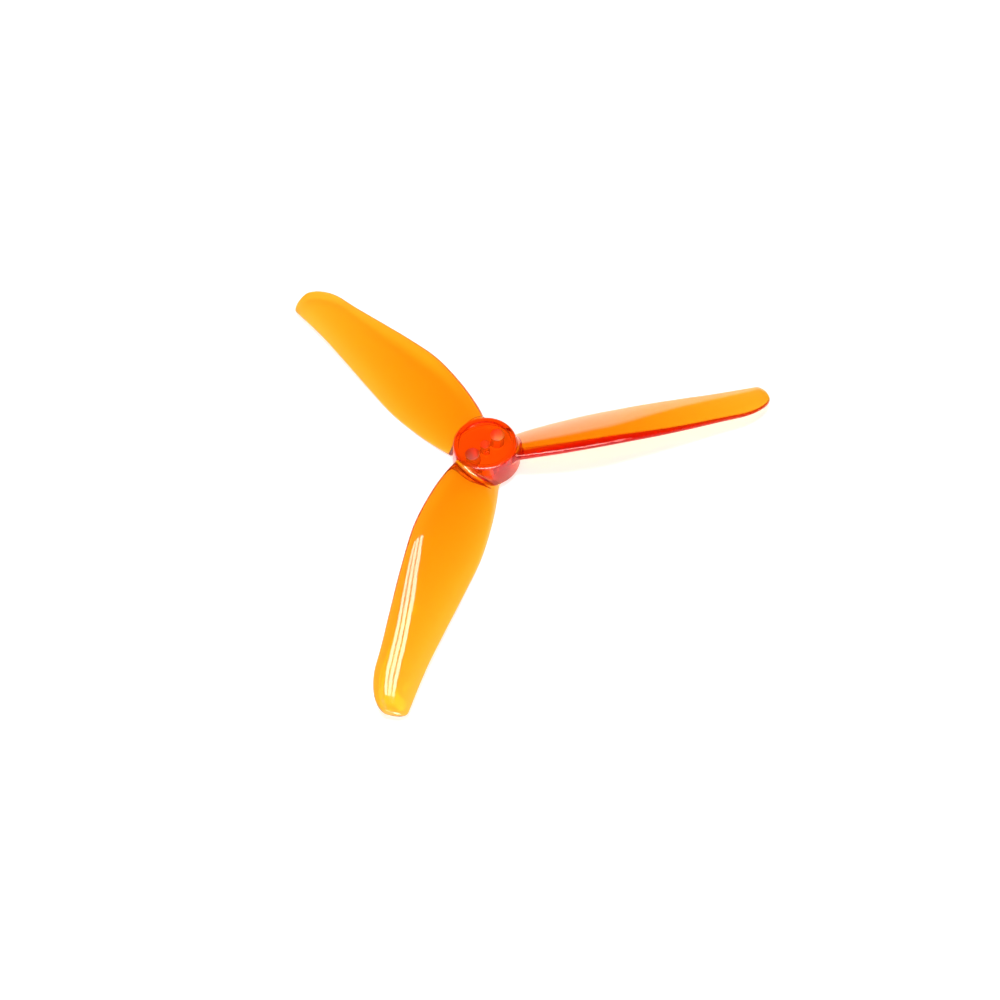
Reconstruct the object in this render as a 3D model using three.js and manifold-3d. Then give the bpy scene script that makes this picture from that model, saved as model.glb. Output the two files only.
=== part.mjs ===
// Three-blade propeller for a small multirotor: 3.5 inch across, turning clockwise seen from above,
// held on the motor by its shaft and two small screws.
// Millimetres, +Z along the spin axis and away from the motor. The origin is the centre of the
// hub's underside, the face that sits on the motor.

import * as THREE from 'three';
import { mergeVertices } from 'three/addons/utils/BufferGeometryUtils.js';
import Module from 'manifold-3d';

// Driving dimensions
const INCH = 25.4;
const DIAMETER = 3.5 * INCH;
const PITCH = 2.85 * INCH; // advance in one turn
const BLADE_COUNT = 3;

const HUB_HEIGHT = 4.3;
const HUB_TOP_RADIUS = 4.8;
const HUB_BASE_RADIUS = 5.2; // the wall widens downwards, so that the moulding leaves its die
const BASE_CHAMFER = 0.25;
const RIM_WIDTH = 0.8;
const RECESS_DEPTH = 0.45;

const SHAFT_HOLE = 1.5; // diameter
const SCREW_HOLE = 2.2; // diameter, clear of an M2 screw
const SCREW_SPACING = 5; // between the two screw holes, across the shaft

const ROOT_PITCH_ANGLE = 30.5; // degrees, the steepest the blade gets
const ROOT_THICKNESS = 1.85;
const TIP_THICKNESS = 0.77;
const CAMBER = 0.045; // of the chord
const FORWARD_BOW = 0.3; // how far the mid-chord line bows towards the leading edge
const TIP_CORNER_LENGTH = 6.2; // along the blade, where the leading edge rounds into the tip
const TRAILING_CORNER_LENGTH = 1.3;
const TIP_APEX = -0.3; // the outermost point, behind the blade's radial line
const JOINT_GAP = 0.3; // between a blade's root and the hub's wall

// Along the blade: share of the tip radius, chord, height of mid-chord above the hub's underside
const BLADE_STATIONS = [
  [0.0, 4.5, 1.2],
  [0.08, 7.3, 1.45],
  [0.15, 9.05, 1.75],
  [0.25, 10.55, 1.9],
  [0.38, 11.25, 1.97],
  [0.52, 10.1, 1.85],
  [0.68, 8.35, 1.6],
  [0.82, 6.95, 1.33],
  [1.0, 6.1, 0.93],
];

const TIP_RADIUS = DIAMETER / 2;
const ROOT_START = 0.5; // the uncut blade starts here, inside the hub
const STATIONS = 34;
const CORNER_STATIONS = 10; // the last of them, close together round the tip's corners
const TIP_FLAT = 0.01; // the last section stops this short of the tip, where the chord is still a width
const SECTION_POINTS = 26;
const ROUND_SEGMENTS = 72;
const RIM_SEGMENTS = 8;
const HOLE_SEGMENTS = 24;
const EDGE_FULLNESS = 0.6; // below 1 the edges of a section are blunter than an ellipse's
const NOSE_BIAS = 0.3; // moves the thickest part of a section towards the leading edge
const PITCH_BLEND = 10; // how sharply the helix angle gives way to the root's own angle
const HALVINGS = 30; // to find a place on the station curve
const MERGE_DISTANCE = 1e-5; // corners closer than this are one
const OVERSHOOT = 1; // how far a cutting tool reaches past what it cuts

const wasm = await Module();
wasm.setup();

function solidFrom(geometry) {
  const bare = geometry.clone();
  bare.deleteAttribute('normal');
  bare.deleteAttribute('uv');
  const merged = mergeVertices(bare, MERGE_DISTANCE);
  return new wasm.Manifold(new wasm.Mesh({
    numProp: 3,
    vertProperties: merged.attributes.position.array,
    triVerts: new Uint32Array(merged.index.array),
  }));
}

function geometryFrom(solid) {
  const mesh = solid.getMesh();
  const geometry = new THREE.BufferGeometry();
  geometry.setAttribute('position', new THREE.BufferAttribute(new Float32Array(mesh.vertProperties), 3));
  geometry.setIndex(new THREE.BufferAttribute(new Uint32Array(mesh.triVerts), 1));
  geometry.computeVertexNormals();
  return geometry;
}

// A lathe turns its profile about +Y, so it is stood up to turn about +Z.
function turned(profile, segments) {
  const points = profile.map(([radius, height]) => new THREE.Vector2(radius, height));
  return solidFrom(new THREE.LatheGeometry(points, segments).rotateX(Math.PI / 2));
}

function hole(diameter, y) {
  const length = HUB_HEIGHT + 2 * OVERSHOOT;
  const pin = new THREE.CylinderGeometry(diameter / 2, diameter / 2, length, HOLE_SEGMENTS);
  return solidFrom(pin.rotateX(Math.PI / 2).translate(0, y, HUB_HEIGHT / 2));
}

// The disc of the hub: a drafted wall, a rounded rim and a shallow recess for the screw heads.
function hubSolid() {
  const rimRadius = RIM_WIDTH / 2;
  const rimCentre = HUB_TOP_RADIUS - rimRadius;
  const profile = [
    [0, 0],
    [HUB_BASE_RADIUS - BASE_CHAMFER, 0],
    [HUB_BASE_RADIUS, BASE_CHAMFER],
  ];
  for (let i = 0; i <= RIM_SEGMENTS; i += 1) {
    const angle = (Math.PI * i) / RIM_SEGMENTS;
    profile.push([
      rimCentre + rimRadius * Math.cos(angle),
      HUB_HEIGHT - rimRadius + rimRadius * Math.sin(angle),
    ]);
  }
  profile.push([rimCentre - rimRadius, HUB_HEIGHT - RECESS_DEPTH]);
  profile.push([0, HUB_HEIGHT - RECESS_DEPTH]);
  return turned(profile, ROUND_SEGMENTS)
    .subtract(hole(SHAFT_HOLE, 0))
    .subtract(hole(SCREW_HOLE, SCREW_SPACING / 2))
    .subtract(hole(SCREW_HOLE, -SCREW_SPACING / 2));
}

// The hub's wall moved outwards by the joint gap, to cut the blade roots to.
function hubClearance() {
  const slope = (HUB_TOP_RADIUS - HUB_BASE_RADIUS) / HUB_HEIGHT;
  const low = -OVERSHOOT;
  const high = HUB_HEIGHT + OVERSHOOT;
  return turned([
    [0, low],
    [HUB_BASE_RADIUS + JOINT_GAP + slope * low, low],
    [HUB_BASE_RADIUS + JOINT_GAP + slope * high, high],
    [0, high],
  ], ROUND_SEGMENTS);
}

const stationPoints = BLADE_STATIONS.map((station) => new THREE.Vector3(...station));
const stationCurve = new THREE.CatmullRomCurve3(stationPoints);

// Chord and height at a share of the tip radius, read off the smooth curve by halving.
function stationAt(span) {
  let low = 0;
  let high = 1;
  for (let i = 0; i < HALVINGS; i += 1) {
    const middle = (low + high) / 2;
    if (stationCurve.getPoint(middle).x < span) low = middle;
    else high = middle;
  }
  const { y: chord, z: height } = stationCurve.getPoint(low);
  return { chord, height };
}

// The helix of the pitch sets the angle outboard, and the root has a gentler angle of its own.
function pitchAngle(radius) {
  const helix = Math.atan(PITCH / (2 * Math.PI * radius));
  const root = THREE.MathUtils.degToRad(ROOT_PITCH_ANGLE);
  return (helix ** -PITCH_BLEND + root ** -PITCH_BLEND) ** (-1 / PITCH_BLEND);
}

// A quarter of an ellipse: 1 where the corner starts, 0 at the tip.
function cornerFade(radius, length) {
  const along = Math.max(0, (radius - (TIP_RADIUS - length)) / length);
  return Math.sqrt(Math.max(0, 1 - along ** 2));
}

// One closed section of the blade that points along +X. Its leading edge is towards -Y and higher.
function sectionAt(radius) {
  const span = radius / TIP_RADIUS;
  const station = stationAt(span);
  const halfChord = station.chord / 2;
  const bow = FORWARD_BOW * Math.sin(Math.PI * span);
  const lead = TIP_APEX + (bow + halfChord - TIP_APEX) * cornerFade(radius, TIP_CORNER_LENGTH);
  const trail = TIP_APEX + (bow - halfChord - TIP_APEX) * cornerFade(radius, TRAILING_CORNER_LENGTH);
  const chord = lead - trail;
  const middle = (lead + trail) / 2;
  const fullThickness = THREE.MathUtils.lerp(ROOT_THICKNESS, TIP_THICKNESS, span);
  const thickness = Math.min(fullThickness, chord);
  const angle = pitchAngle(radius);
  const points = [];
  for (let i = 0; i < SECTION_POINTS; i += 1) {
    const turn = (2 * Math.PI * i) / SECTION_POINTS;
    const along = Math.cos(turn);
    const bulge = Math.sign(Math.sin(turn)) * Math.abs(Math.sin(turn)) ** EDGE_FULLNESS;
    const arch = CAMBER * chord * (1 - along ** 2);
    const across = middle + (chord / 2) * along;
    const up = arch + (thickness / 2) * bulge * (1 + NOSE_BIAS * along) / (1 + NOSE_BIAS / 2);
    points.push(new THREE.Vector3(
      radius,
      -(across * Math.cos(angle) - up * Math.sin(angle)),
      station.height + across * Math.sin(angle) + up * Math.cos(angle),
    ));
  }
  return points;
}

// Stations are evenly spread, then close up towards the tip so that its corners come out round.
function stationRadii() {
  const radii = [];
  const cornerStart = TIP_RADIUS - TIP_CORNER_LENGTH;
  const evenStations = STATIONS - CORNER_STATIONS;
  for (let i = 0; i < evenStations; i += 1) {
    radii.push(THREE.MathUtils.lerp(ROOT_START, cornerStart, i / evenStations));
  }
  for (let i = 0; i < CORNER_STATIONS; i += 1) {
    radii.push(cornerStart + TIP_CORNER_LENGTH * Math.sin((Math.PI / 2) * (i / CORNER_STATIONS)));
  }
  radii.push(TIP_RADIUS - TIP_FLAT);
  return radii;
}

// Skins a row of sections and closes both ends.
function loft(sections) {
  const count = sections[0].length;
  const positions = sections.flat().flatMap((point) => point.toArray());
  const index = [];
  for (let ring = 0; ring + 1 < sections.length; ring += 1) {
    for (let i = 0; i < count; i += 1) {
      const next = (i + 1) % count;
      const here = ring * count;
      const there = here + count;
      index.push(here + i, there + i, there + next);
      index.push(here + i, there + next, here + next);
    }
  }
  const last = (sections.length - 1) * count;
  for (let i = 1; i + 1 < count; i += 1) {
    index.push(0, i, i + 1);
    index.push(last, last + i + 1, last + i);
  }
  const geometry = new THREE.BufferGeometry();
  geometry.setAttribute('position', new THREE.Float32BufferAttribute(positions, 3));
  geometry.setIndex(index);
  return geometry;
}

// Clear orange plastic, the same moulding throughout.
function plastic() {
  return new THREE.MeshStandardMaterial({ color: 0xf98a1c, roughness: 0.15, metalness: 0 });
}

const propeller = new THREE.Group();

const hub = new THREE.Mesh(geometryFrom(hubSolid()), plastic());
hub.name = 'hub';
propeller.add(hub);

const bladeSolid = solidFrom(loft(stationRadii().map(sectionAt))).subtract(hubClearance());
for (let i = 0; i < BLADE_COUNT; i += 1) {
  const blade = new THREE.Mesh(geometryFrom(bladeSolid), plastic());
  blade.name = `blade_${i + 1}`;
  blade.rotation.z = (2 * Math.PI * i) / BLADE_COUNT;
  propeller.add(blade);
}

export default propeller;
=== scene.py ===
"""A 3.5 inch three-blade propeller, moulded in clear orange plastic, on a pale studio floor.

The hub and the three blades are drawn here again by the same rules as the CAD model, at a finer
resolution and with the fillets that run out of the blades into the hub's wall. Sizes are in metres.
"""

import math

import bmesh
import bpy
from mathutils import Matrix, Vector


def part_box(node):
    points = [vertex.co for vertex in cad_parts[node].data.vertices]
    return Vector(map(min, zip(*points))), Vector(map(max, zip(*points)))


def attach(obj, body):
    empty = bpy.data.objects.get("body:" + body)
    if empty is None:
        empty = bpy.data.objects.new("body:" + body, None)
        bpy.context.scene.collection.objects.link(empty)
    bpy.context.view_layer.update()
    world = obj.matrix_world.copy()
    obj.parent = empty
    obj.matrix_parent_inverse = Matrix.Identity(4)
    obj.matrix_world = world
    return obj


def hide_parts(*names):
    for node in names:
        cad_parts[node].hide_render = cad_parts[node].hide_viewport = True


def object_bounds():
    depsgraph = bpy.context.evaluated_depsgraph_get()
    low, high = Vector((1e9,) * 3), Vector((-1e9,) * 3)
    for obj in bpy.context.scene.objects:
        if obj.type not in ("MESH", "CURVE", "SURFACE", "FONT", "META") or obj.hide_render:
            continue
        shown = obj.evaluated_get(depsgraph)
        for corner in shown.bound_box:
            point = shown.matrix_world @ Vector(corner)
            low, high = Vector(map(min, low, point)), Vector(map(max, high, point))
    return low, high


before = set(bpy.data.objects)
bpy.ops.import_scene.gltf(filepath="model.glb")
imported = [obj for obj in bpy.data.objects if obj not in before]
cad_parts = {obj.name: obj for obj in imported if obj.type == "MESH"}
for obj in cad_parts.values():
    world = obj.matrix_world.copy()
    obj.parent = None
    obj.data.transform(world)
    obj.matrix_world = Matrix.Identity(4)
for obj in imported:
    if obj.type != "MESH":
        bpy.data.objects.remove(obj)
CAD_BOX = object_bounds()

MM = 0.001
INCH = 0.0254

# Sizes read off the frame
HUB_LOW, HUB_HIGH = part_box("hub")
UNDERSIDE = HUB_LOW.z
HUB_HEIGHT = HUB_HIGH.z - HUB_LOW.z
HUB_BASE_RADIUS = HUB_HIGH.x
TIP_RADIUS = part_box("blade_1")[1].x
BLADES = ("blade_1", "blade_2", "blade_3")

# The hub
HUB_DRAFT = 0.4 * MM  # how much narrower the wall is at the top
HUB_TOP_RADIUS = HUB_BASE_RADIUS - HUB_DRAFT
BASE_CHAMFER = 0.25 * MM
RIM_RADIUS = 0.4 * MM
RECESS_DEPTH = 0.45 * MM
RECESS_DRAFT = 0.05 * MM  # how much narrower the recess is at its floor
SHAFT_HOLE = 1.5 * MM
SCREW_HOLE = 2.2 * MM
SCREW_SPACING = 5 * MM
GATE_MARK = 0.65 * MM  # diameter of the dimple where the plastic was let into the die
GATE_DEPTH = 0.12 * MM
GATE_PLACE = 1.7 * MM  # from the axis
GATE_AZIMUTH = math.radians(152)
EDGE_ROUND = 0.06 * MM  # the small round on the hub's edges
MATT = "matt"  # name of the hub's per-face value, 1 where the surface is dull

# The blades
PITCH = 2.85 * INCH  # advance in one turn
ROOT_PITCH_ANGLE = math.radians(30.5)  # the steepest the blade gets
PITCH_BLEND = 10  # how sharply the helix angle gives way to the root's own angle
ROOT_THICKNESS = 1.85 * MM
TIP_THICKNESS = 0.77 * MM
CAMBER = 0.045  # of the chord
FORWARD_BOW = 0.3 * MM  # how far the mid-chord line bows towards the leading edge
TIP_CORNER_LENGTH = 6.2 * MM  # along the blade, where the leading edge rounds into the tip
TRAILING_CORNER_LENGTH = 1.3 * MM
TIP_APEX = -0.3 * MM  # the outermost point, behind the blade's radial line
TIP_ROUND = 0.3 * MM  # along the blade, where the upper skin comes down to the lower one
EDGE_FULLNESS = 0.6  # below 1 the edges of a section are blunter than an ellipse's
NOSE_BIAS = 0.3  # moves the thickest part of a section towards the leading edge
FILLET = 0.65 * MM
ROOT_FLARE = 1.4  # how steeply the root grows past the hub's faces, away from the wall
SEAM = 0.005 * MM  # between a blade's root and the hub's wall

# Share of the tip radius, chord, height of mid-chord above the underside
STATIONS = (
    (0.0, 4.5 * MM, 1.2 * MM),
    (0.08, 7.3 * MM, 1.45 * MM),
    (0.15, 9.05 * MM, 1.75 * MM),
    (0.25, 10.55 * MM, 1.9 * MM),
    (0.38, 11.25 * MM, 1.97 * MM),
    (0.52, 10.1 * MM, 1.85 * MM),
    (0.68, 8.35 * MM, 1.6 * MM),
    (0.82, 6.95 * MM, 1.33 * MM),
    (1.0, 6.1 * MM, 0.93 * MM),
)

# Fineness of the meshes
SECTION_POINTS = 112
FILLET_RINGS = 9
ROOT_RINGS = 12
SPAN_RINGS = 48
TIP_RINGS = 40
CAP_STEPS = 8
HUB_SEGMENTS = 256
HOLE_SEGMENTS = 96
RIM_STEPS = 20
EDGE_SEGMENTS = 3
FLOOR_SEGMENTS = 64
HALVINGS = 40  # to find where a line along the blade comes to the hub's wall
TURN_STEP = 0.01  # between the points that a normal is worked out from, round the blade
RADIUS_STEP = 0.02 * MM  # and along it
MERGE_DISTANCE = 1e-7  # points closer than this are one

# Edges sharper than these angles are shaded as edges
BLADE_CREASE = math.radians(50)
HUB_CREASE = math.radians(28)
PLAIN_CREASE = math.radians(30)
ROUNDED_EDGE = math.radians(35)  # edges of the hub sharper than this get a small round


# ------------------------------------------------------------------------------------ geometry


def mix(low, high, share):
    return low + (high - low) * share


def slope_at(index, column):
    """How fast a column of STATIONS changes at a row, from the rows on both sides."""
    before = STATIONS[max(index - 1, 0)]
    after = STATIONS[min(index + 1, len(STATIONS) - 1)]
    return (after[column] - before[column]) / (after[0] - before[0])


def station_value(span, column):
    """A column of STATIONS at a share of the tip radius, on a smooth curve through its rows."""
    index = 0
    while index < len(STATIONS) - 2 and STATIONS[index + 1][0] < span:
        index += 1
    low, high = STATIONS[index], STATIONS[index + 1]
    width = high[0] - low[0]
    t = (span - low[0]) / width
    rise = high[column] - low[column]
    start = slope_at(index, column) * width - rise
    end = rise - slope_at(index + 1, column) * width
    return low[column] + rise * t + t * (1 - t) * (start * (1 - t) + end * t)


def pitch_angle(radius):
    """The helix of the pitch outboard, and a gentler angle of its own towards the root."""
    helix = math.atan(PITCH / (2 * math.pi * radius))
    return (helix**-PITCH_BLEND + ROOT_PITCH_ANGLE**-PITCH_BLEND) ** (-1 / PITCH_BLEND)


def corner_fade(radius, length):
    """A quarter of an ellipse: 1 where the corner starts, 0 at the tip."""
    along = max(0.0, (radius - (TIP_RADIUS - length)) / length)
    return math.sqrt(max(0.0, 1 - along**2))


def blade_point(turn, radius):
    """A point on the blade that points along +X. At turn 0 it is on the leading edge, towards -Y."""
    span = radius / TIP_RADIUS
    half_chord = station_value(span, 1) / 2
    bow = FORWARD_BOW * math.sin(math.pi * span)
    lead = mix(TIP_APEX, bow + half_chord, corner_fade(radius, TIP_CORNER_LENGTH))
    trail = mix(TIP_APEX, bow - half_chord, corner_fade(radius, TRAILING_CORNER_LENGTH))
    chord = lead - trail
    thickness = min(mix(ROOT_THICKNESS, TIP_THICKNESS, span), chord)
    along = math.cos(turn)
    bulge = math.copysign(abs(math.sin(turn)) ** EDGE_FULLNESS, math.sin(turn))
    across = (lead + trail) / 2 + chord / 2 * along
    nose = (1 + NOSE_BIAS * along) / (1 + NOSE_BIAS / 2)
    arch = CAMBER * chord * (1 - along**2)
    up = arch + thickness / 2 * bulge * nose
    if bulge > 0:
        up = mix(arch - thickness / 2 * bulge * nose, up, corner_fade(radius, TIP_ROUND))
    angle = pitch_angle(radius)
    return Vector(
        (
            radius,
            up * math.sin(angle) - across * math.cos(angle),
            UNDERSIDE + station_value(span, 2) + across * math.sin(angle) + up * math.cos(angle),
        )
    )


def wall_radius(z):
    """The hub's wall at a height, with the seam that keeps a blade's root clear of it."""
    return HUB_BASE_RADIUS - HUB_DRAFT * (z - UNDERSIDE) / HUB_HEIGHT + SEAM


def on_wall(point, distance):
    """The point moved straight out or in, to stand that far from the hub's wall."""
    scale = (wall_radius(point.z) + distance) / math.hypot(point.x, point.y)
    return Vector((point.x * scale, point.y * scale, point.z))


def radius_near_wall(turn, distance):
    """Where the line of that turn along the blade comes this close to the hub's wall."""
    low, high = MM, 2 * HUB_BASE_RADIUS
    for _ in range(HALVINGS):
        middle = (low + high) / 2
        point = blade_point(turn, middle)
        if math.hypot(point.x, point.y) - wall_radius(point.z) < distance:
            low = middle
        else:
            high = middle
    return low


def blade_normal(turn, radius):
    """The outward direction of the blade's surface at a point."""
    around = blade_point(turn + TURN_STEP, radius) - blade_point(turn - TURN_STEP, radius)
    outwards = blade_point(turn, radius + RADIUS_STEP) - blade_point(turn, radius - RADIUS_STEP)
    return outwards.cross(around).normalized()


def fillet_ring(turns, distance):
    """The blade's outline this far from the wall, grown by the fillet where it runs into it."""
    near = max(FILLET - distance, 0.0)
    growth = FILLET - math.sqrt(FILLET**2 - near**2)
    lowest = UNDERSIDE + BASE_CHAMFER + EDGE_ROUND - ROOT_FLARE * distance
    highest = UNDERSIDE + HUB_HEIGHT - RIM_RADIUS + ROOT_FLARE * distance
    ring = []
    for turn in turns:
        radius = radius_near_wall(turn, distance)
        point = blade_point(turn, radius)
        normal = blade_normal(turn, radius)
        out = Vector((point.x, point.y, 0)).normalized()
        along_wall = (normal - out * normal.dot(out)).normalized()
        point += along_wall * growth
        point.z = min(max(point.z, lowest), highest)
        ring.append(on_wall(point, distance))
    return ring


def blade_rings(turns):
    """The blade's outlines from the hub's wall to the tip: fillet, root, span and tip."""
    rings = []
    for i in range(FILLET_RINGS):
        angle = math.pi / 2 * i / FILLET_RINGS
        rings.append(fillet_ring(turns, FILLET * (1 - math.cos(angle))))
    starts = [radius_near_wall(turn, FILLET) for turn in turns]
    root_end = 2 * HUB_BASE_RADIUS
    for i in range(ROOT_RINGS):
        share = i / ROOT_RINGS
        rings.append([blade_point(t, mix(s, root_end, share)) for t, s in zip(turns, starts)])
    corner_start = TIP_RADIUS - TIP_CORNER_LENGTH
    for i in range(SPAN_RINGS):
        radius = mix(root_end, corner_start, i / SPAN_RINGS)
        rings.append([blade_point(turn, radius) for turn in turns])
    for i in range(TIP_RINGS):
        radius = mix(corner_start, TIP_RADIUS, math.sin(math.pi / 2 * i / TIP_RINGS))
        rings.append([blade_point(turn, radius) for turn in turns])
    return rings


def without_repeats(corners):
    """The corners of a face, less each one that is the same as the one before it."""
    return [corner for i, corner in enumerate(corners) if corner is not corners[i - 1]]


def add_cap(mesh, ring):
    """Closes the root with rows of faces that follow the hub's round wall."""
    count = len(ring)
    rows = []
    for i in range(count // 2 + 1):
        upper, lower = ring[i], ring[-i % count]
        if upper is lower:
            rows.append([upper] * (CAP_STEPS + 1))
            continue
        row = [upper]
        for step in range(1, CAP_STEPS):
            row.append(mesh.verts.new(on_wall(upper.co.lerp(lower.co, step / CAP_STEPS), 0)))
        rows.append(row + [lower])
    for row, following in zip(rows, rows[1:]):
        for step in range(CAP_STEPS):
            corners = [row[step], row[step + 1], following[step + 1], following[step]]
            mesh.faces.new(without_repeats(corners)[::-1])


def make_blade(name, turn_about_axis):
    """One blade, a closed skin of rings from the hub's wall to the tip."""
    turns = [2 * math.pi * i / SECTION_POINTS for i in range(SECTION_POINTS)]
    rings = blade_rings(turns)
    mesh = bmesh.new()
    rows = [[mesh.verts.new(point) for point in ring] for ring in rings]
    for row, following in zip(rows, rows[1:]):
        for i in range(SECTION_POINTS):
            j = (i + 1) % SECTION_POINTS
            mesh.faces.new((row[i], following[i], following[j], row[j]))
    add_cap(mesh, rows[0])
    tip = mesh.verts.new(sum((v.co for v in rows[-1]), Vector()) / SECTION_POINTS)
    for i in range(SECTION_POINTS):
        mesh.faces.new((rows[-1][i], tip, rows[-1][(i + 1) % SECTION_POINTS]))
    bmesh.ops.remove_doubles(mesh, verts=mesh.verts, dist=MERGE_DISTANCE)
    bmesh.ops.recalc_face_normals(mesh, faces=mesh.faces)
    mesh.transform(Matrix.Rotation(turn_about_axis, 4, "Z"))
    return finished(name, mesh, BLADE_CREASE)


def finished(name, mesh, crease):
    """Turns a bmesh into a smooth-shaded object whose edges stay sharp past the crease angle."""
    data = bpy.data.meshes.new(name)
    mesh.to_mesh(data)
    mesh.free()
    data.shade_smooth()
    data.set_sharp_from_angle(angle=crease)
    piece = bpy.data.objects.new(name, data)
    bpy.context.scene.collection.objects.link(piece)
    return piece


def revolved(name, profile, segments):
    """A closed solid turned from a profile that starts and ends on the axis."""
    mesh = bmesh.new()
    rows = []
    for radius, height in profile:
        if radius == 0:
            rows.append([mesh.verts.new((0, 0, height))] * segments)
            continue
        row = []
        for i in range(segments):
            angle = 2 * math.pi * i / segments
            row.append(mesh.verts.new((radius * math.cos(angle), radius * math.sin(angle), height)))
        rows.append(row)
    for row, following in zip(rows, rows[1:]):
        for i in range(segments):
            j = (i + 1) % segments
            mesh.faces.new(without_repeats([row[i], row[j], following[j], following[i]]))
    return finished(name, mesh, PLAIN_CREASE)


def hub_profile():
    """Half the hub's section: a drafted wall, a rim rounded on its outside, and the recess."""
    top = UNDERSIDE + HUB_HEIGHT
    rim_middle = HUB_TOP_RADIUS - RIM_RADIUS
    profile = [
        (0, UNDERSIDE),
        (HUB_BASE_RADIUS - BASE_CHAMFER, UNDERSIDE),
        (HUB_BASE_RADIUS, UNDERSIDE + BASE_CHAMFER),
    ]
    for i in range(RIM_STEPS + 1):
        angle = math.pi / 2 * i / RIM_STEPS
        radius = rim_middle + RIM_RADIUS * math.cos(angle)
        profile.append((radius, top - RIM_RADIUS + RIM_RADIUS * math.sin(angle)))
    profile.append((rim_middle - RIM_RADIUS, top))
    profile.append((rim_middle - RIM_RADIUS - RECESS_DRAFT, top - RECESS_DEPTH))
    profile.append((0, top - RECESS_DEPTH))
    return profile


def apply_modifiers(piece):
    bpy.context.view_layer.update()
    view = bpy.context.evaluated_depsgraph_get()
    data = bpy.data.meshes.new_from_object(piece.evaluated_get(view))
    piece.modifiers.clear()
    piece.data = data


def drill(piece, diameter, x, y, low):
    """Cuts a round hole in the hub, open at the top, down to a height."""
    high = UNDERSIDE + HUB_HEIGHT + MM
    profile = [(0, low), (diameter / 2, low), (diameter / 2, high), (0, high)]
    pin = revolved("pin", profile, HOLE_SEGMENTS)
    pin.location = (x, y, 0)
    cut = piece.modifiers.new("hole", "BOOLEAN")
    cut.operation = "DIFFERENCE"
    cut.solver = "EXACT"
    cut.object = pin
    apply_modifiers(piece)
    bpy.data.objects.remove(pin)


def mark_matt_faces(data):
    """The underside and the walls of the holes come off duller steel than the rest."""
    holes_reach = SCREW_SPACING / 2 + SCREW_HOLE / 2 + EDGE_ROUND
    matt = data.attributes.new(MATT, "FLOAT", "FACE")
    for face in data.polygons:
        underneath = face.center.z < UNDERSIDE + EDGE_ROUND / 2
        upright = abs(face.normal.z) < 0.5
        inside = math.hypot(face.center.x, face.center.y) < holes_reach
        matt.data[face.index].value = float(underneath or (upright and inside))


def make_hub():
    """The turned disc, with its three holes, the gate's dimple and small rounds on its edges."""
    hub = revolved("hub_moulding", hub_profile(), HUB_SEGMENTS)
    through = UNDERSIDE - MM
    drill(hub, SHAFT_HOLE, 0, 0, through)
    drill(hub, SCREW_HOLE, 0, SCREW_SPACING / 2, through)
    drill(hub, SCREW_HOLE, 0, -SCREW_SPACING / 2, through)
    gate_x = GATE_PLACE * math.cos(GATE_AZIMUTH)
    gate_y = GATE_PLACE * math.sin(GATE_AZIMUTH)
    drill(hub, GATE_MARK, gate_x, gate_y, UNDERSIDE + HUB_HEIGHT - RECESS_DEPTH - GATE_DEPTH)
    rounding = hub.modifiers.new("rounding", "BEVEL")
    rounding.width = EDGE_ROUND
    rounding.segments = EDGE_SEGMENTS
    rounding.limit_method = "ANGLE"
    rounding.angle_limit = ROUNDED_EDGE
    apply_modifiers(hub)
    hub.data.shade_smooth()
    hub.data.set_sharp_from_angle(angle=HUB_CREASE)
    mark_matt_faces(hub.data)
    return hub


# ----------------------------------------------------------------------------------- materials

WHITE = (1, 1, 1, 1)

# The plastic. Noise scales are patches a metre.
SURFACE_TINT = (0.87, 0.61, 0.25, 1)  # of light that goes through the surface
DEPTH_COLOUR = (0.994, 0.89, 0.27, 1)  # of light that goes through the plastic
DEPTH_DENSITY = 4000
REFRACTION = 1.585  # polycarbonate's
POLISH = (0.02, 0.07)  # roughness, least and most
POLISH_NOISE = (0.35, 0.7)  # the values of the noise that give those two
POLISH_SCALE = 400
MATT_ROUGHNESS = 0.45
SINK_SCALE = 220
SINK_DEPTH = 0.02 * MM
GRAIN_SCALE = 2600
GRAIN_DEPTH = 0.0008 * MM

# The floor
FLOOR_COLOUR = (0.7, 0.7, 0.7, 1)
FLOOR_ROUGHNESS = 0.9
FLOOR_SHEEN = 0.1
FLOOR_GLOW = 0.7


def noise(tree, place, scale, detail):
    made = tree.nodes.new("ShaderNodeTexNoise")
    made.inputs["Scale"].default_value = scale
    made.inputs["Detail"].default_value = detail
    tree.links.new(place.outputs["Object"], made.inputs["Vector"])
    return made


def bump(tree, height, depth, under=None):
    """Relief of that depth on the surface, laid over an earlier relief if there is one."""
    made = tree.nodes.new("ShaderNodeBump")
    made.inputs["Distance"].default_value = depth
    tree.links.new(height.outputs["Fac"], made.inputs["Height"])
    if under:
        tree.links.new(under.outputs["Normal"], made.inputs["Normal"])
    return made


def map_range(tree, value, source, target):
    """Spreads the values between the two of source over those between the two of target."""
    made = tree.nodes.new("ShaderNodeMapRange")
    made.inputs["From Min"].default_value, made.inputs["From Max"].default_value = source
    made.inputs["To Min"].default_value, made.inputs["To Max"].default_value = target
    tree.links.new(value, made.inputs["Value"])
    return made


def plastic_roughness(tree, place):
    """A polish that varies a little, and a dull finish on the faces that are marked matt."""
    polish = noise(tree, place, POLISH_SCALE, detail=3)
    wear = map_range(tree, polish.outputs["Fac"], POLISH_NOISE, POLISH)
    matt = tree.nodes.new("ShaderNodeAttribute")
    matt.attribute_name = MATT
    roughness = tree.nodes.new("ShaderNodeMix")
    roughness.inputs["B"].default_value = MATT_ROUGHNESS
    tree.links.new(matt.outputs["Fac"], roughness.inputs["Factor"])
    tree.links.new(wear.outputs["Result"], roughness.inputs["A"])
    return roughness.outputs["Result"]


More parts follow.
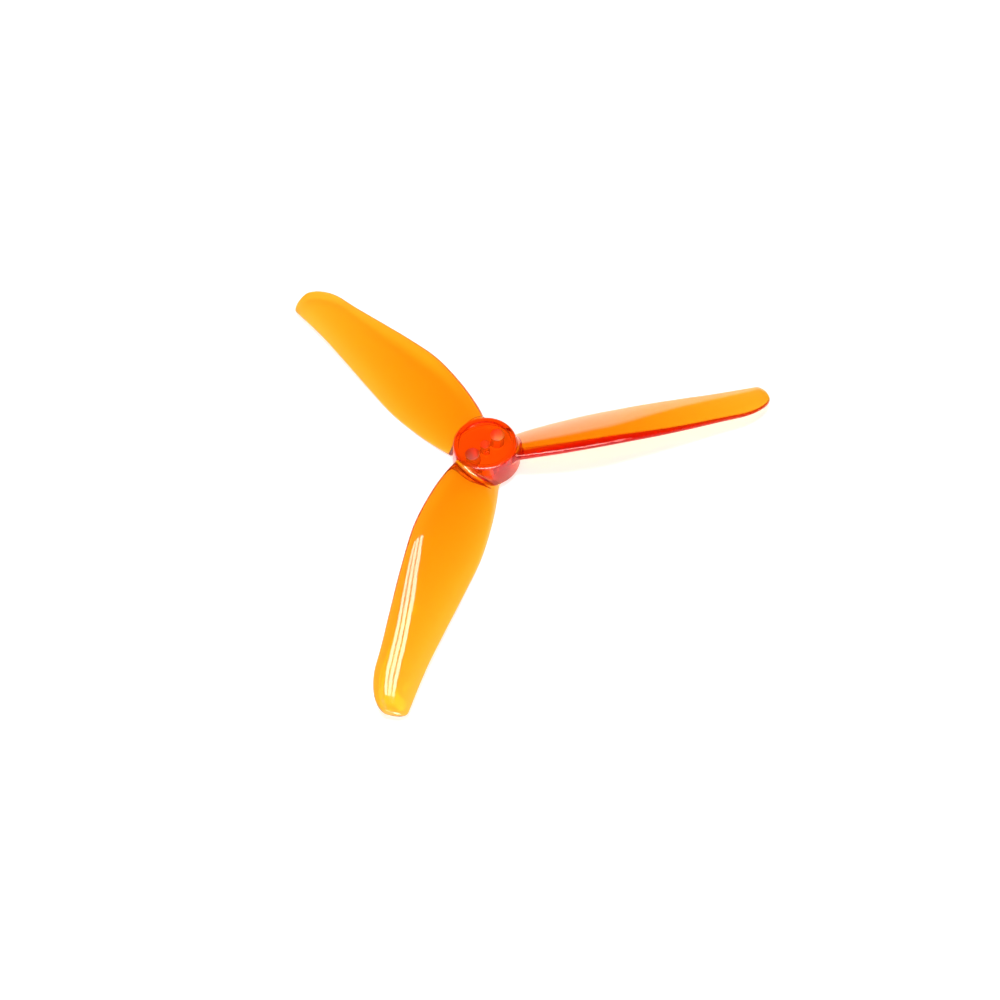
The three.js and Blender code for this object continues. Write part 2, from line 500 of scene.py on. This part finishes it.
def plastic_relief(tree, place):
    """The slight sink of a moulding as it cools, and a fine grain."""
    sink = bump(tree, noise(tree, place, SINK_SCALE, detail=1), SINK_DEPTH)
    grain = bump(tree, noise(tree, place, GRAIN_SCALE, detail=2), GRAIN_DEPTH, sink)
    return grain.outputs["Normal"]


def clear_plastic():
    """Tinted polycarbonate: the colour comes from the depth of plastic the light goes through."""
    material = bpy.data.materials.new("clear_orange_plastic")
    material.use_nodes = True
    tree = material.node_tree
    surface = tree.nodes["Principled BSDF"]
    surface.inputs["Base Color"].default_value = SURFACE_TINT
    surface.inputs["Transmission Weight"].default_value = 1
    surface.inputs["IOR"].default_value = REFRACTION
    place = tree.nodes.new("ShaderNodeTexCoord")
    tree.links.new(plastic_roughness(tree, place), surface.inputs["Roughness"])
    tree.links.new(plastic_relief(tree, place), surface.inputs["Normal"])
    depth = tree.nodes.new("ShaderNodeVolumeAbsorption")
    depth.inputs["Color"].default_value = DEPTH_COLOUR
    depth.inputs["Density"].default_value = DEPTH_DENSITY
    tree.links.new(depth.outputs["Volume"], tree.nodes["Material Output"].inputs["Volume"])
    return material


def floor_material():
    """Pale matt paper, lit from below as well, as on a light table."""
    material = bpy.data.materials.new("studio_floor")
    material.use_nodes = True
    surface = material.node_tree.nodes["Principled BSDF"]
    surface.inputs["Base Color"].default_value = FLOOR_COLOUR
    surface.inputs["Roughness"].default_value = FLOOR_ROUGHNESS
    surface.inputs["Specular IOR Level"].default_value = FLOOR_SHEEN
    surface.inputs["Emission Color"].default_value = WHITE
    surface.inputs["Emission Strength"].default_value = FLOOR_GLOW
    return material


# ---------------------------------------------------------------------------------- the studio

# The camera, as seen from the hub
CAMERA_AZIMUTH = math.radians(-217.89)
CAMERA_ELEVATION = math.radians(56.58)
CAMERA_ROLL = math.radians(-5.03)
CAMERA_DISTANCE = 233.6 * MM
CAMERA_AIM = -0.9 * MM  # height on the axis that the two shifts are measured from
CAMERA_SHIFT = (-2.01 * MM, 5.71 * MM)  # of that point in the picture, right and up
LENS = 55.4  # focal length in millimetres, as the sensor's width
SENSOR = 36
PICTURE_RIGHT = CAMERA_AZIMUTH + math.pi / 2  # azimuth of the picture's right-hand side

FLOOR_RADIUS = 0.8
FLOOR_GAP = 0.05 * MM  # below the lowest point of the object

# The surroundings
SKY_DARK = 0.02
SKY_FADE = 0.1  # how high a direction rises before the white below the horizon has faded out
GLOW_DIRECTION = (-90, 40)  # the middle of a soft patch of brightness on the camera's side
GLOW_SPREAD = (0.5, 1.0)  # cosines of the angles from there at which it starts and is strongest
GLOW = (0.0, 0.6)  # its brightness at those two

# The lights. Places are to the right of the hub, behind it and above it, as the camera sees them.
# Brightness 1 is that of white paper.
LIGHT_HEIGHT = 1
TOP_SIZE = (0.18, 0.18)
TOP_BRIGHTNESS = 48
FRONT_PLACE = (0, -1, 1.19)
FRONT_TILT = 40
FRONT_SIZE = (1.8, 0.65)
FRONT_BRIGHTNESS = 14
WINDOW_PANES = 3
FIRST_PANE = (0.185, 0.15)
PANE_SIZE = (0.09, 0.15)
PANE_SPACING = 0.125
PANE_BRIGHTNESS = 10

BOUNCES = 24  # enough for light that is caught inside the plastic


def make_camera():
    data = bpy.data.cameras.new("camera")
    data.lens = LENS
    data.sensor_width = SENSOR
    data.clip_start = MM
    data.clip_end = 100
    camera = bpy.data.objects.new("camera", data)
    bpy.context.scene.collection.objects.link(camera)
    turn = Matrix.Rotation(PICTURE_RIGHT, 4, "Z")
    tilt = Matrix.Rotation(math.pi / 2 - CAMERA_ELEVATION, 4, "X")
    roll = Matrix.Rotation(CAMERA_ROLL, 4, "Z")
    across, up = CAMERA_SHIFT
    place = Matrix.Translation((-across, -up, CAMERA_DISTANCE))
    aim = Matrix.Translation((0, 0, UNDERSIDE + CAMERA_AIM))
    camera.matrix_world = aim @ turn @ tilt @ roll @ place
    bpy.context.scene.camera = camera


def direction(azimuth, elevation):
    """A direction from the hub, with azimuth 0 to the right of the picture and 90 to its back."""
    flat = PICTURE_RIGHT + math.radians(azimuth)
    rise = math.radians(elevation)
    return Vector((math.cos(rise) * math.cos(flat), math.cos(rise) * math.sin(flat), math.sin(rise)))


def sky(tree, place):
    """White below the horizon, and nearly black from a little above it."""
    split = tree.nodes.new("ShaderNodeSeparateXYZ")
    ramp = tree.nodes.new("ShaderNodeValToRGB")
    ramp.color_ramp.interpolation = "EASE"
    stops = ramp.color_ramp.elements
    stops[0].position = 0
    stops[0].color = WHITE
    stops[1].position = SKY_FADE
    stops[1].color = (SKY_DARK, SKY_DARK, SKY_DARK, 1)
    tree.links.new(place.outputs["Generated"], split.inputs["Vector"])
    tree.links.new(split.outputs["Z"], ramp.inputs["Fac"])
    return ramp.outputs["Color"]


def front_glow(tree, place):
    """A soft patch of brightness on the camera's side."""
    towards_front = tree.nodes.new("ShaderNodeVectorMath")
    towards_front.operation = "DOT_PRODUCT"
    towards_front.inputs[1].default_value = direction(*GLOW_DIRECTION)
    tree.links.new(place.outputs["Generated"], towards_front.inputs[0])
    glow = map_range(tree, towards_front.outputs["Value"], GLOW_SPREAD, GLOW)
    glow.interpolation_type = "SMOOTHSTEP"
    return glow.outputs["Result"]


def seen_straight_or_through(tree):
    """1 where the surroundings are seen past the plastic or through it, and not in a reflection."""
    ray = tree.nodes.new("ShaderNodeLightPath")
    either = tree.nodes.new("ShaderNodeMath")
    either.operation = "MAXIMUM"
    tree.links.new(ray.outputs["Is Camera Ray"], either.inputs[0])
    tree.links.new(ray.outputs["Is Transmission Ray"], either.inputs[1])
    return either.outputs["Value"]


def colour_mix(tree, first, second, factor):
    """Two colours mixed. Each of the three may be a value or the output of a node."""
    made = tree.nodes.new("ShaderNodeMix")
    made.data_type = "RGBA"
    for name, given in (("A", first), ("B", second), ("Factor", factor)):
        if isinstance(given, bpy.types.NodeSocket):
            tree.links.new(given, made.inputs[name])
        else:
            made.inputs[name].default_value = given
    return made


def make_world():
    """A dark room for the plastic to reflect, and otherwise a plain white backdrop."""
    world = bpy.data.worlds.new("studio")
    bpy.context.scene.world = world
    world.use_nodes = True
    tree = world.node_tree
    place = tree.nodes.new("ShaderNodeTexCoord")
    room = colour_mix(tree, sky(tree, place), front_glow(tree, place), 1)
    room.blend_type = "LIGHTEN"
    backdrop = colour_mix(tree, room.outputs["Result"], WHITE, seen_straight_or_through(tree))
    tree.links.new(backdrop.outputs["Result"], tree.nodes["Background"].inputs["Color"])


def make_floor():
    mesh = bmesh.new()
    bmesh.ops.create_circle(mesh, cap_ends=True, segments=FLOOR_SEGMENTS, radius=FLOOR_RADIUS)
    floor = finished("studio_floor", mesh, PLAIN_CREASE)
    floor.location.z = CAD_BOX[0][2] - FLOOR_GAP
    floor.data.materials.append(floor_material())


def panel(name, place, tilt, size, brightness):
    """A flat light that shines down. A tilt in degrees tips it to shine backwards."""
    data = bpy.data.lights.new(name, "AREA")
    data.shape = "RECTANGLE"
    data.size, data.size_y = size
    data.energy = brightness * math.pi * size[0] * size[1]
    light = bpy.data.objects.new(name, data)
    bpy.context.scene.collection.objects.link(light)
    turn = Matrix.Rotation(PICTURE_RIGHT, 4, "Z")
    tip = Matrix.Rotation(math.radians(tilt), 4, "X")
    light.matrix_world = turn @ Matrix.Translation(place) @ tip
    return light


def make_lights():
    """A lamp overhead that isn't reflected, and a panel and a window that don't light the floor."""
    top = panel("top_light", (0, 0, LIGHT_HEIGHT), 0, TOP_SIZE, TOP_BRIGHTNESS)
    top.visible_glossy = False
    front = panel("front_light", FRONT_PLACE, FRONT_TILT, FRONT_SIZE, FRONT_BRIGHTNESS)
    front.visible_diffuse = False
    right, behind = FIRST_PANE
    for i in range(WINDOW_PANES):
        place = (right + i * PANE_SPACING, behind, LIGHT_HEIGHT)
        pane = panel("window_pane", place, 0, PANE_SIZE, PANE_BRIGHTNESS)
        pane.visible_diffuse = False


# ------------------------------------------------------------------------------------ the scene


def clad(piece, cad_node, plastic):
    """Gives a piece its plastic, and puts it in the place of a CAD node."""
    piece.data.materials.clear()
    piece.data.materials.append(plastic)
    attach(piece, "root")
    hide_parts(cad_node)


def make_propeller():
    plastic = clear_plastic()
    clad(make_hub(), "hub", plastic)
    for number, cad_blade in enumerate(BLADES):
        turn = 2 * math.pi * number / len(BLADES)
        clad(make_blade(cad_blade + "_moulding", turn), cad_blade, plastic)


make_camera()
make_world()
make_floor()
make_lights()
make_propeller()

bpy.context.scene.view_settings.view_transform = "Standard"
bpy.context.scene.cycles.max_bounces = BOUNCES
bpy.context.scene.cycles.transmission_bounces = BOUNCES
bpy.context.scene.cycles.glossy_bounces = BOUNCES
